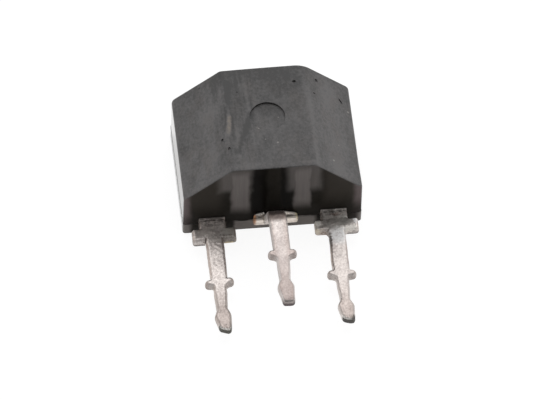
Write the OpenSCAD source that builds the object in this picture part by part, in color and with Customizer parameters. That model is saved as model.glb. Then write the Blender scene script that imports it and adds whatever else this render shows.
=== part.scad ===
// Small-signal transistor in a bevelled moulding, with three snap-in blade leads.
// X runs across the three leads, the leads point along -Y and the flat front faces +Z.
// The origin is the middle of the moulding's back.

/* [Moulding] */
// Width of the moulding below its parting line
body_w = 7.45; // [7:0.05:9]
// Length of the moulding, from the lead end to the far end
body_l = 5.24; // [4.8:0.02:7]
// Height of the moulding, from its back to its flat front
body_h = 4.12; // [3.7:0.02:5]
// Height where the side walls end and the two bevels begin
shoulder_h = 2.31; // [2:0.01:2.8]
// Width of the flat front, between the two bevels
front_w = 3.49; // [2.6:0.01:4.4]
// Draft of the side walls above the parting line, in degrees
side_draft = 0.5; // [0:0.1:3]
// Step where the two halves of the mould met
parting_step = 0.02; // [0.01:0.01:0.05]
// Radius of the four upright corners
corner_r = 0.16; // [0.1:0.02:0.6]
// Radius of the two ridges beside the flat front
ridge_r = 0.25; // [0.1:0.05:0.8]
// Radius where the side walls meet the bevels
shoulder_r = 0.2; // [0.05:0.05:0.5]
// Diameter of the ejector-pin mark in the flat front
pin_mark_d = 1.47; // [0.8:0.01:2.2]
// Depth of the ejector-pin mark
pin_mark_depth = 0.1; // [0.03:0.01:0.15]
// How far the ejector-pin mark lies off centre, towards the far end
pin_mark_y = 0.06; // [-0.2:0.02:0.2]

/* [Lead strip] */
// Thickness of the strip that the leads are stamped from
lead_t = 0.35; // [0.25:0.01:0.45]
// Distance between neighbouring leads
lead_pitch = 2.54; // [2.4:0.01:2.7]
// Height of the strip's underside above the back
lead_z = 0.6; // [0.4:0.01:0.8]
// Radius of the strip's outer corners
strip_corner_r = 0.08; // [0.02:0.01:0.1]
// Radius in the strip's inner corners
strip_fillet_r = 0.06; // [0.02:0.01:0.08]

/* [Dam-bar stubs] */
// Width of the two outer leads where they leave the moulding
stub_w = 1.1; // [0.9:0.01:1.3]
// Length of the outer leads between the moulding and their dam-bar stubs
stub_l = 0.49; // [0.3:0.01:0.7]
// Width of what is left of the dam bar on an outer lead
dam_w = 1.82; // [1.5:0.01:2.1]
// Length of what is left of the dam bar along an outer lead
dam_l = 0.54; // [0.4:0.01:0.8]
// Width of what is left of the dam bar on the centre lead
centre_dam_w = 1.87; // [1.5:0.01:2.1]
// Length of what is left of the dam bar along the centre lead
centre_dam_l = 0.3; // [0.28:0.01:0.5]
// Radius of the worn corners of the centre lead's dam-bar stub
centre_dam_r = 0.13; // [0.04:0.01:0.13]
// How far off centre the trimming punch left the base lead's stub
base_trim = 0.02; // [-0.1:0.01:0.1]
// How far off centre the trimming punch left the emitter lead's stub
emitter_trim = 0.05; // [-0.1:0.01:0.1]
// How far off centre the trimming punch left the collector lead's stub
collector_trim = 0.11; // [-0.12:0.01:0.12]

/* [Blades] */
// Distance from the moulding to the blades' tips
blade_reach = 5.72; // [5.5:0.02:8]
// Width of a blade at its root
blade_root_w = 0.76; // [0.7:0.01:0.9]
// Width of a blade above its round barbs
blade_w = 0.7; // [0.6:0.01:0.8]
// Distance from the moulding to the round barbs
barb_at = 3.26; // [3:0.02:3.8]
// Width across the two round barbs
barb_w = 1.2; // [1.1:0.01:1.4]
// Radius of a round barb
barb_r = 0.17; // [0.12:0.01:0.2]
// Width of the neck just below the barbs
neck_top_w = 0.54; // [0.5:0.01:0.66]
// Width of the neck at its narrow end
neck_w = 0.4; // [0.3:0.01:0.5]
// Length of the snap head, from the neck's narrow end to the tip
head_l = 1.04; // [0.8:0.01:1.2]
// Distance along the snap head to its widest place
head_rise = 0.29; // [0.2:0.01:0.4]
// Width of the snap head
head_w = 0.7; // [0.6:0.01:0.8]
// Width of the tip
tip_w = 0.47; // [0.3:0.01:0.55]
// Radius of the tip's two corners
tip_r = 0.14; // [0.05:0.01:0.14]
// How far towards +X the cropping punch left the tips of the leads
tip_shift = 0.05; // [-0.08:0.01:0.08]
// How much shorter it left the tips on their -X side
tip_slant = 0.13; // [0:0.01:0.2]
// Angle by which the base lead is bent outwards, in degrees
base_splay = 0.5; // [-2:0.1:2]

/* [Joggle of the centre lead] */
// Height that the centre lead steps up towards the front
joggle_rise = 1.68; // [1.2:0.02:2]
// Steepness of the joggle's slope, in degrees
joggle_angle = 60; // [55:1:70]
// Inside radius of the joggle's two bends
bend_r = 0.125; // [0.1:0.005:0.2]
// Straight length between the moulding and the first bend, and past the second
bend_gap = 0.02; // [0.01:0.01:0.1]

/* [Inside] */
// Distance that the leads reach into the moulding
inner_reach = 3.3; // [3:0.05:3.6]
// Width of the collector's die pad
pad_w = 1.6; // [1.2:0.05:1.9]
// Length of the collector's die pad
pad_l = 1.7; // [1.4:0.05:2]
// Length of the bond posts on the outer leads
post_l = 0.9; // [0.6:0.05:1.1]
// Gap of moulding compound between the die pad and a bond post
post_gap = 0.35; // [0.25:0.05:0.5]
// Side of the silicon die
die_w = 0.5; // [0.35:0.05:0.7]
// Thickness of the silicon die
die_t = 0.2; // [0.15:0.01:0.25]
// Thickness of the bond under the die
die_bond_t = 0.03; // [0.02:0.005:0.05]
// How far the bond under the die shows round it
die_bond_margin = 0.04; // [0.02:0.01:0.08]
// Diameter of the bond wires
wire_d = 0.05; // [0.04:0.005:0.08]
// Arc that a bond wire's loop turns through, in degrees
wire_turn = 130; // [100:5:150]
// Diameter of the nail-head at each end of a bond wire
nail_head_d = 0.12; // [0.08:0.01:0.16]
// Thickness of the nail-heads
nail_head_t = 0.06; // [0.03:0.01:0.08]
// Distance from a bond post's inner edge to its wire
post_bond_at = 0.3; // [0.2:0.05:0.5]

/* [Hidden] */

$fn = 96;
// Straight pieces that stand for one rounded corner of an outline
arc_steps = 8;
// Sides of a bond wire's section
wire_sides = 8;
// Extra length of a cut past a face
cut = 1;

lead_end = -body_l / 2;
lead_top = lead_z + lead_t;

// The ends of the strip inside the moulding
pad_near = inner_reach - pad_l;
post_far = inner_reach - (pad_l - post_l) / 2;
post_near = post_far - post_l;
post_inner_x = pad_w / 2 + post_gap;

// The die sits in the middle of its pad, and the bond posts lie beside it
die_y = lead_end + inner_reach - pad_l / 2;
die_z = lead_top + die_bond_t;
die_top = die_z + die_t;

// The wires stand halfway between the middle of the die and its edges
die_bond_x = die_w / 4;
post_bond_x = post_inner_x + post_bond_at;

// Stations along a blade, counted from the moulding
neck_at = blade_reach - head_l;

// ---- outlines ----

function unit(a, b) = (b - a) / norm(b - a);
function turn(u, v) = sign(u[0] * v[1] - u[1] * v[0]);
function xy(p) = [p[0], p[1]];
function reversed(list) = [for (i = [len(list) - 1 : -1 : 0]) list[i]];

// Points of the arc of radius r that rounds the corner c between its neighbours p and n
function corner_arc(p, c, n, r) =
    let (u = unit(p, c), v = unit(c, n), side = turn(u, v),
         bend = acos(max(-1, min(1, u * v))),
         start = c - u * r * tan(bend / 2),
         centre = start + side * r * [-u[1], u[0]],
         a0 = atan2(start[1] - centre[1], start[0] - centre[0]))
    [for (k = [0 : arc_steps])
        let (a = a0 + side * bend * k / arc_steps)
        centre + r * [cos(a), sin(a)]];

// An outline of [x, y, radius] corners with every corner rounded
function rounded(corners) =
    let (n = len(corners))
    [for (i = [0 : n - 1])
        let (p = xy(corners[(i + n - 1) % n]), c = xy(corners[i]),
             q = xy(corners[(i + 1) % n]), r = corners[i][2])
        each r > 0 ? corner_arc(p, c, q, r) : [c]];

// One side of a blade, from above the barbs to the tip: s is 1 or -1, and plus is the one of them that
// points towards +X on the finished part
function blade_side(s, plus) = [
    [s * blade_w / 2, -barb_at + barb_r, strip_fillet_r],
    [s * barb_w / 2, -barb_at + barb_r, barb_r],
    [s * barb_w / 2, -barb_at - barb_r, barb_r],
    [s * neck_top_w / 2, -barb_at - barb_r, strip_fillet_r],
    [s * neck_w / 2, -neck_at, strip_corner_r],
    [s * head_w / 2, -neck_at - head_rise, strip_corner_r],
    [plus * tip_shift + s * tip_w / 2, (s == plus ? 0 : tip_slant) - blade_reach, tip_r]];

// A blade whose root is at distance root from the moulding
module blade(root, plus)
    linear_extrude(lead_t)
        polygon(rounded(concat(
            [[blade_root_w / 2, -root, 0]], blade_side(1, plus),
            reversed(blade_side(-1, plus)), [[-blade_root_w / 2, -root, 0]])));

// What the trimming punch left of the dam bar, between two distances from the moulding
module dam_stub(near, far, width, shift, r)
    linear_extrude(lead_t)
        polygon(rounded([
            [shift + width / 2, -near, r],
            [shift + width / 2, -far, r],
            [shift - width / 2, -far, r],
            [shift - width / 2, -near, r]]));

// Places the strip's own plane in the moulding's lead end
module on_strip()
    translate([0, lead_end, lead_z])
        children();

// ---- leads ----

// An outer lead on the +X side, with its bond post turned towards the die pad
module outer_lead(trim, splay, plus) {
    dam_far = stub_l + dam_l;
    on_strip()
        union() {
            linear_extrude(lead_t)
                polygon(rounded([
                    [lead_pitch + stub_w / 2, -stub_l - dam_l / 2, 0],
                    [lead_pitch + stub_w / 2, post_far, strip_corner_r],
                    [post_inner_x, post_far, strip_corner_r],
                    [post_inner_x, post_near, strip_corner_r],
                    [lead_pitch - stub_w / 2, post_near, strip_fillet_r],
                    [lead_pitch - stub_w / 2, -stub_l - dam_l / 2, 0]]));
            translate([lead_pitch, 0, 0])
                dam_stub(stub_l, dam_far, dam_w, trim, strip_corner_r);
            translate([lead_pitch, -dam_far, 0])
                rotate([0, 0, splay])
                    translate([0, dam_far, 0])
                        blade(dam_far - strip_corner_r, plus);
        }
}

// Half the difference in length between the two faces of the strip at one bend
bend_offset = lead_t / 2 * tan(joggle_angle / 2);
// Distance from a bend's start to the corner that its two straight runs would make
bend_tangent = (bend_r + lead_t / 2) * tan(joggle_angle / 2);
// The joggle's stations, counted from the moulding
low_corner = bend_gap + bend_tangent;
high_corner = low_corner + joggle_rise / tan(joggle_angle);
joggle_end = high_corner + bend_tangent;

// The centre lead's step towards the front: the strip's side view, as wide as the blade's root
module joggle()
    translate([-blade_root_w / 2, 0, 0])
        rotate([90, 0, 90])
            linear_extrude(blade_root_w)
                polygon(rounded([
                    [0, 0, 0],
                    [-low_corner - bend_offset, 0, bend_r + lead_t],
                    [-high_corner - bend_offset, joggle_rise, bend_r],
                    [-joggle_end - bend_gap, joggle_rise, 0],
                    [-joggle_end - bend_gap, joggle_rise + lead_t, 0],
                    [-high_corner + bend_offset, joggle_rise + lead_t, bend_r + lead_t],
                    [-low_corner + bend_offset, lead_t, bend_r],
                    [0, lead_t, 0]]));

module collector_lead()
    color("silver")
        on_strip()
            union() {
                linear_extrude(lead_t)
                    polygon(rounded([
                        [blade_root_w / 2, -centre_dam_l / 2, 0],
                        [blade_root_w / 2, pad_near, strip_fillet_r],
                        [pad_w / 2, pad_near, strip_corner_r],
                        [pad_w / 2, inner_reach, strip_corner_r],
                        [-pad_w / 2, inner_reach, strip_corner_r],
                        [-pad_w / 2, pad_near, strip_corner_r],
                        [-blade_root_w / 2, pad_near, strip_fillet_r],
                        [-blade_root_w / 2, -centre_dam_l / 2, 0]]));
                dam_stub(0, centre_dam_l, centre_dam_w, collector_trim, centre_dam_r);
                joggle();
                translate([0, 0, joggle_rise])
                    blade(joggle_end, 1);
            }

module base_lead()
    color("gainsboro")
        mirror([1, 0, 0])
            outer_lead(-base_trim, base_splay, -1);

module emitter_lead()
    color("gainsboro")
        outer_lead(emitter_trim, 0, 1);

// ---- chip ----

module silicon_die()
    color("slategray")
        translate([-die_w / 2, die_y - die_w / 2, die_z])
            cube([die_w, die_w, die_t]);

module die_bond() {
    side = die_w + 2 * die_bond_margin;
    color("darkgoldenrod")
        translate([-side / 2, die_y - side / 2, lead_top])
            cube([side, side, die_bond_t]);
}

// A bond wire on the +X side, looped from the die up and down to the bond post
module bond_wire() {
    die_end = [die_bond_x, die_top + nail_head_t / 2];
    post_end = [post_bond_x, lead_top + nail_head_t / 2];
    middle = (die_end + post_end) / 2;
    span = norm(post_end - die_end);
    tilt = atan2(die_end[1] - post_end[1], post_end[0] - die_end[0]);
    loop_r = span / 2 / sin(wire_turn / 2);
    translate([middle[0], die_y, middle[1]])
        rotate([0, tilt, 0])
            translate([0, 0, -loop_r * cos(wire_turn / 2)])
                rotate([90, 0, 0])
                    rotate([0, 0, 90 - wire_turn / 2])
                        rotate_extrude(angle = wire_turn)
                            translate([loop_r, 0])
                                circle(d = wire_d, $fn = wire_sides);
    translate([die_bond_x, die_y, die_top])
        cylinder(d = nail_head_d, h = nail_head_t, $fn = wire_sides);
    translate([post_bond_x, die_y, lead_top])
        cylinder(d = nail_head_d, h = nail_head_t, $fn = wire_sides);
}

module emitter_wire()
    color("gold")
        bond_wire();

module base_wire()
    color("gold")
        mirror([1, 0, 0])
            bond_wire();

// ---- moulding ----

// A rectangle round the origin with rounded corners, as corners of an outline
function plan(width, length, r) = [
    [width / 2, length / 2, r], [-width / 2, length / 2, r],
    [-width / 2, -length / 2, r], [width / 2, -length / 2, r]];

// The lower half of the mould's cavity, below the parting line at the strip's underside
module lower_half()
    linear_extrude(lead_z)
        polygon(rounded(plan(body_w, body_l, corner_r)));

// The upper half: side walls with draft, two bevels and the flat front
module upper_half() {
    foot_x = body_w / 2 - parting_step;
    shoulder_x = foot_x - (shoulder_h - lead_z) * tan(side_draft);
    length = body_l - 2 * parting_step;
    intersection() {
        translate([0, length / 2, 0])
            rotate([90, 0, 0])
                linear_extrude(length)
                    polygon(rounded([
                        [foot_x, 0, 0],
                        [foot_x, lead_z, 0],
                        [shoulder_x, shoulder_h, shoulder_r],
                        [front_w / 2, body_h, ridge_r],
                        [-front_w / 2, body_h, ridge_r],
                        [-shoulder_x, shoulder_h, shoulder_r],
                        [-foot_x, lead_z, 0],
                        [-foot_x, 0, 0]]));
        linear_extrude(body_h + cut)
            polygon(rounded(plan(2 * foot_x, length, corner_r)));
    }
}

module moulded_body()
    color("dimgray")
        difference() {
            union() {
                lower_half();
                upper_half();
            }
            translate([0, pin_mark_y, body_h - pin_mark_depth])
                cylinder(d = pin_mark_d, h = pin_mark_depth + cut);
            collector_lead();
            base_lead();
            emitter_lead();
            silicon_die();
            die_bond();
            base_wire();
            emitter_wire();
        }

moulded_body();
collector_lead();
base_lead();
emitter_lead();
silicon_die();
die_bond();
base_wire();
emitter_wire();
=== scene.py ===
"""A small-signal transistor lying on its back: a matt black moulding and three hot-tin dipped leads."""
import math

import bmesh
import bpy
from mathutils import Matrix, Vector, noise
from mathutils.bvhtree import BVHTree


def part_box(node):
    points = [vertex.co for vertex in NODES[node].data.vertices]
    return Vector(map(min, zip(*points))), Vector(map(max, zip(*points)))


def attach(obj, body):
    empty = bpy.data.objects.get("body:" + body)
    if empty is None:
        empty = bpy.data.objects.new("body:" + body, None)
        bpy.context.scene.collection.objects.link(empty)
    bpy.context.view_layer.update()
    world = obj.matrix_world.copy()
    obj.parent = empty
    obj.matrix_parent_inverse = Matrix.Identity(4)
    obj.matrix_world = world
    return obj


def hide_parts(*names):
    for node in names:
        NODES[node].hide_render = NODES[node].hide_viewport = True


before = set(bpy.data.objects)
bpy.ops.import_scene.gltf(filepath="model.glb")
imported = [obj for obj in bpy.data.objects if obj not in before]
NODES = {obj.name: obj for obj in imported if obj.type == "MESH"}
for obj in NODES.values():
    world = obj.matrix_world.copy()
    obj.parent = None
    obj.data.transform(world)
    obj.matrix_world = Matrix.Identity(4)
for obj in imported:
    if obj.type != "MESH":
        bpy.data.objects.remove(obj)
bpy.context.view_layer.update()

MM = 0.001

# ---- sizes that the looks share with the solids, in millimetres ----

BODY_LOW, BODY_HIGH = (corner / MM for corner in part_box("moulded_body"))
LEAD_LOW, LEAD_HIGH = (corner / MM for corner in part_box("emitter_lead"))
LEAD_END = BODY_LOW.y          # plane that the leads come out of
FRONT = BODY_HIGH.z            # plane of the flat front
PARTING = LEAD_LOW.z           # height of the parting line, at the strip's underside
STRIP_T = LEAD_HIGH.z - LEAD_LOW.z
TIP = LEAD_LOW.y               # where the blades end
JOGGLE_RISE = 1.68             # how much higher the centre lead's blade lies than its neighbours'
# Middle of each lead's barbs
LEAD_X = {"base_lead": -2.56, "collector_lead": 0.0, "emitter_lead": 2.54}

PARTING_STEP = 0.006           # the upper half is this much smaller all round
SHOULDER_Z = 2.31              # height where the side walls end and the bevels begin
FRONT_HALF = 1.745             # half the width of the flat front
SIDE_DRAFT = math.radians(0.3)
SPREAD = 0.018                 # how far the compound stood out past the drawing at the parting line
CORNER_R = 0.13                # upright corners

FOOT_X = BODY_HIGH.x + SPREAD - PARTING_STEP
HALF_LENGTH = BODY_HIGH.y - PARTING_STEP
SHOULDER_X = FOOT_X - (SHOULDER_Z - PARTING) * math.tan(SIDE_DRAFT)
BEVEL_SLOPE = (FRONT - SHOULDER_Z) / (SHOULDER_X - FRONT_HALF)


# ---- small helpers ----

def linear(hex_colour):
    """An sRGB hex colour as the linear RGBA that a shader reads."""
    channels = [int(hex_colour[i:i + 2], 16) / 255 for i in (1, 3, 5)]
    return [c / 12.92 if c <= 0.04045 else ((c + 0.055) / 1.055) ** 2.4 for c in channels] + [1.0]


def add(tree, kind, *inputs, **settings):
    """Adds a node, gives it its settings, links or sets its inputs, and gives back its outputs.

    The inputs are in the node's own order, or one dictionary by name. Hex colours are turned to linear.
    """
    node = tree.nodes.new("ShaderNode" + kind)
    for name, value in settings.items():
        setattr(node, name, value)
    by_name = inputs[0] if inputs and isinstance(inputs[0], dict) else dict(enumerate(inputs))
    for socket, value in by_name.items():
        if isinstance(value, bpy.types.NodeSocket):
            tree.links.new(value, node.inputs[socket])
        else:
            node.inputs[socket].default_value = linear(value) if isinstance(value, str) else value
    return node.outputs


def ramp(value, start, end):
    """0 at start and before it, 1 at end and past it."""
    return max(0.0, min(1.0, (value - start) / (end - start)))


def surface_height(x):
    """Height of the front or a bevel at that x."""
    return FRONT - max(0, abs(x) - FRONT_HALF) * BEVEL_SLOPE


def link(obj):
    bpy.context.scene.collection.objects.link(obj)
    return obj


def solid_copy(node):
    """A CAD node's shape in millimetres, with its points merged and its flat faces whole."""
    bm = bmesh.new()
    bm.from_mesh(NODES[node].data)
    bmesh.ops.scale(bm, vec=(1 / MM, 1 / MM, 1 / MM), verts=bm.verts)
    bmesh.ops.remove_doubles(bm, verts=bm.verts, dist=1e-4)
    bmesh.ops.dissolve_limit(bm, angle_limit=math.radians(0.2), verts=bm.verts, edges=bm.edges)
    return bm


def shape_object(name, bm):
    """An object in millimetres that still has work to come."""
    mesh = bpy.data.meshes.new(name)
    bm.to_mesh(mesh)
    bm.free()
    return link(bpy.data.objects.new(name, mesh))


def applied(obj):
    """The object's shape with its modifiers, as a bmesh. The object goes."""
    bpy.context.view_layer.update()
    evaluated = obj.evaluated_get(bpy.context.evaluated_depsgraph_get())
    bm = bmesh.new()
    bm.from_mesh(evaluated.to_mesh())
    evaluated.to_mesh_clear()
    bpy.data.objects.remove(obj)
    return bm


def combined(bm, operation, others):
    """The union of a shape with others, or what they leave of it."""
    body = shape_object("body", bm)
    tools = [shape_object("tool", other) for other in others]
    for tool in tools:
        modifier = body.modifiers.new("combine", "BOOLEAN")
        modifier.operation = operation
        modifier.solver = "EXACT"
        modifier.object = tool
    result = applied(body)
    for tool in tools:
        bpy.data.objects.remove(tool)
    return result


def finished(name, bm, materials, crease):
    """A finished piece: its shape in metres, smooth over edges flatter than crease, in degrees."""
    bmesh.ops.scale(bm, vec=(MM, MM, MM), verts=bm.verts)
    for face in bm.faces:
        face.smooth = True
    for edge in bm.edges:
        edge.smooth = len(edge.link_faces) != 2 or edge.calc_face_angle(0) < math.radians(crease)
    obj = shape_object(name, bm)
    for material in materials:
        obj.data.materials.append(material)
    return obj


# ---- materials ----

def new_material(name):
    material = bpy.data.materials.new(name)
    material.use_nodes = True
    material.node_tree.nodes.clear()
    return material, material.node_tree


def place_in_mm(tree):
    """The point on the piece, in millimetres of the shared frame."""
    coords = add(tree, "TexCoord")["Object"]
    return add(tree, "VectorMath", {0: coords, "Scale": 1 / MM}, operation="SCALE")[0]


def patch(tree, place, centre, reach, soft=0.5):
    """1 inside an ellipsoid about centre that reaches so far along each axis, 0 outside, in millimetres."""
    away = add(tree, "VectorMath", place, centre, operation="SUBTRACT")[0]
    away = add(tree, "VectorMath", away, reach, operation="DIVIDE")[0]
    away = add(tree, "VectorMath", away, operation="LENGTH")["Value"]
    return add(tree, "MapRange", away, 1 + soft, 1 - soft, interpolation_type="SMOOTHSTEP")[0]


def stretched_noise(tree, place, sizes, detail=2.0, roughness=0.5):
    """Noise whose features are so many millimetres across along each axis."""
    scaled = add(tree, "VectorMath", place, sizes, operation="DIVIDE")[0]
    return add(tree, "TexNoise",
               {"Vector": scaled, "Scale": 1.0, "Detail": detail, "Roughness": roughness})[0]


def pane(tree, place, x, z, half_width, half_height, soft=0.3):
    """1 inside an upright rectangle of the lead end, 0 outside, in millimetres."""
    away = add(tree, "VectorMath", place, (x, 0, z), operation="SUBTRACT")[0]
    away = add(tree, "VectorMath", away, (half_width, 1e3, half_height), operation="DIVIDE")[0]
    away = add(tree, "VectorMath", away, operation="ABSOLUTE")[0]
    parts = add(tree, "SeparateXYZ", away)
    away = add(tree, "Math", parts["X"], parts["Z"], 0.3, operation="SMOOTH_MAX")[0]
    return add(tree, "MapRange", away, 1 + soft, 1 - soft, interpolation_type="SMOOTHSTEP")[0]


def stroke(tree, place, start, end, half_width):
    """1 along a line across the front, fading to 0 at half_width from it, in millimetres."""
    run = Vector(end) - Vector(start)
    away = add(tree, "VectorMath", place, (*start, 0), operation="SUBTRACT")[0]
    along = add(tree, "VectorMath", away, (*(run / run.length_squared), 0), operation="DOT_PRODUCT")["Value"]
    along = add(tree, "Clamp", along)[0]
    nearest = add(tree, "VectorMath", {0: (*run, 0), "Scale": along}, operation="SCALE")[0]
    away = add(tree, "VectorMath", away, nearest, operation="SUBTRACT")[0]
    away = add(tree, "VectorMath", away, (1, 1, 0), operation="MULTIPLY")[0]
    away = add(tree, "VectorMath", away, operation="LENGTH")["Value"]
    return add(tree, "MapRange", away, half_width, 0, interpolation_type="SMOOTHSTEP")[0]


# Rubs and smears on the front and bevels, and painted highlights and painted light along its ridges, edges
# and bevels: start, end, half-width and how much paler (or darker) they are
SMEARS_AND_HIGHLIGHTS = (
    ((-1.5, 1.9), (-1.6, 1.0), 0.18, -1.1),
    ((-1.62, 0.9), (-1.8, -0.5), 0.1, -0.5),
    ((-2.04, 2.2), (-2.02, 1.2), 0.22, -0.35),
    ((-1.75, 2.1), (-1.62, 0.3), 0.14, 0.3),
    ((-0.67, 0.3), (-1.42, -1.7), 0.2, -0.6),
    ((-1.47, 0.1), (-1.46, -1.1), 0.12, -0.45),
    ((-1.62, 0.2), (-1.72, -0.7), 0.15, 0.9),
    ((-0.9, 2.3), (-0.95, 0.4), 0.2, -0.12),
    ((-0.5, 2.4), (-0.35, 1.3), 0.16, -0.18),
    ((-1.9, -0.2), (-1.95, -1.6), 0.12, -0.16),
    # Painted light on the two bevels
    ((-2.4, 1.6), (-2.7, -2.4), 0.9, 0.3),
    ((2.4, 1.8), (2.7, -2.4), 1.1, 0.4),
    # Painted highlights along the +X ridge, the +X shoulder and the edges at the lead end
    ((1.85, 1.4), (1.9, -2.3), 0.16, 0.12),
    ((3.5, 1.6), (3.55, -2.3), 0.14, 0.12),
    ((1.72, 2.3), (1.85, -2.4), 0.22, 0.28),
    ((-1.5, -2.42), (1.8, -2.42), 0.18, 0.25),
    ((-3.2, -2.42), (-1.7, -2.42), 0.2, 0.2),
)
# Bright specks: place across and along, and radius
SPECKS = (
    (-0.499, -0.438, 0.035), (-0.42, -0.45, 0.03), (0.287, -1.305, 0.035), (3.533, 1.188, 0.035),
    (2.582, -1.877, 0.035), (0.45, 0.05, 0.02), (-0.2, -1.1, 0.02), (2.9, -0.9, 0.02),
)


def matt_moulding():
    # Silica-filled epoxy pressed in a spark-eroded cavity: dull, greyed black with a fine even grain,
    # streaked along the draw and rubbed paler in places, with painted highlights along its ridges and edges
    # and painted light on its bevels
    material, tree = new_material("spark_eroded_epoxy")
    place = place_in_mm(tree)
    grain = stretched_noise(tree, place, (0.11, 0.13, 0.11), 3, 0.65)
    clouds = stretched_noise(tree, place, (0.8, 1.1, 0.8), 3, 0.55)
    streaks = stretched_noise(tree, place, (0.2, 2.4, 0.6), 3, 0.55)
    streaked = patch(tree, place, (-1.3, 0.6, FRONT), (1.0, 3.2, 2.0), 0.6)
    streaks = add(tree, "MapRange", streaks, 0.3, 0.7, -0.45, 0.45)[0]
    streaks = add(tree, "Math", streaks, streaked, operation="MULTIPLY")[0]
    tone = add(tree, "MapRange", grain, 0.28, 0.72, 0.1, 0.9)[0]
    tone = add(tree, "Math", streaks, tone, operation="ADD")[0]
    cloud_tone = add(tree, "MapRange", clouds, 0.3, 0.7, -0.28, 0.28)[0]
    tone = add(tree, "Math", tone, cloud_tone, operation="ADD")[0]
    # The far end kept more of its black
    far = patch(tree, place, (-0.2, 2.7, FRONT), (2.2, 1.5, 1.5), 0.8)
    tone = add(tree, "Math", far, -0.45, tone, operation="MULTIPLY_ADD")[0]
    for start, end, half_width, change in SMEARS_AND_HIGHLIGHTS:
        smear_or_highlight = stroke(tree, place, start, end, half_width)
        tone = add(tree, "Math", smear_or_highlight, change, tone, operation="MULTIPLY_ADD")[0]
    tone = add(tree, "Clamp", tone)[0]
    colour = add(tree, "MixRGB", tone, "#373636", "#5d5b5b")[0]
    # Handling has browned it in places
    hue = stretched_noise(tree, place, (0.5, 0.9, 0.5), 2, 0.5)
    browned = add(tree, "MapRange", hue, 0.45, 0.7, 0, 0.5)[0]
    colour = add(tree, "MixRGB", browned, colour, "#f2e9e2", blend_type="MULTIPLY")[0]
    specks = 0.0
    for x, y, radius in SPECKS:
        speck = patch(tree, place, (x, y, surface_height(x)), (radius, radius, 0.3), 0.9)
        specks = add(tree, "Math", speck, specks, operation="MAXIMUM")[0]
    colour = add(tree, "MixRGB", specks, colour, "#8b8784")[0]
    # A pale brown scuff, broken up by the grain
    scuff = stroke(tree, place, (-1.58, 0.15), (-1.68, -0.6), 0.2)
    scuff = add(tree, "Math", scuff, grain, operation="MULTIPLY")[0]
    scuff = add(tree, "MapRange", scuff, 0.2, 0.6, 0, 0.6)[0]
    colour = add(tree, "MixRGB", scuff, colour, "#857a6e")[0]
    bump = add(tree, "Bump", {"Height": grain, "Strength": 0.4, "Distance": 0.01 * MM})[0]
    shader = add(tree, "BsdfPrincipled", {"Base Color": colour, "Roughness": 0.55, "Normal": bump})
    add(tree, "OutputMaterial", shader[0])
    return material


def polished_moulding():
    # The same epoxy off a polished cavity wall: a resin-rich black skin that shines at a low angle
    material, tree = new_material("polished_epoxy")
    place = place_in_mm(tree)
    haze = stretched_noise(tree, place, (0.3, 0.5, 0.3), 3, 0.6)
    haze = add(tree, "MapRange", haze, 0.3, 0.7)[0]
    colour = add(tree, "MixRGB", haze, "#12100d", "#2d2a27")[0]
    roughness = add(tree, "MapRange", haze, 0, 1, 0.07, 0.12)[0]
    shader = add(tree, "BsdfPrincipled", {"Base Color": colour, "Roughness": roughness, "IOR": 1.55})
    add(tree, "OutputMaterial", shader[0])
    return material


# Painted reflections of the floor on the lead end, grey panes between the leads: middle across and up,
# half-sizes, and how strong each is
FLOOR_REFLECTION_PANES = (
    (-1.37, 2.69, 0.39, 1.33, 1.0),
    (-1.6, 3.42, 0.66, 0.74, 0.65),
    (1.22, 2.73, 0.35, 1.33, 1.0),
    (1.3, 3.42, 0.68, 0.95, 0.65),
)
# Painted shade of the centre lead deepens the black at these x, on both sides of it
CENTRE_SHADE_X = (-0.58, 0.6)
# Round the outer leads, at these x, painted shade keeps the lead end dark below the parting line
ROOT_SHADE_X = (-2.53, 2.68)
# Painted light on the upright corners at -X and +X, whose rounding catches the light: how far out it
# starts, the height from which it is full, and how strong it is at LIT_CORNER_LOW
LIT_CORNERS = ((3.48, 3.42), (1.3, 1.7), (0.5, 0.15))
LIT_CORNER_LOW = 0.9


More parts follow.
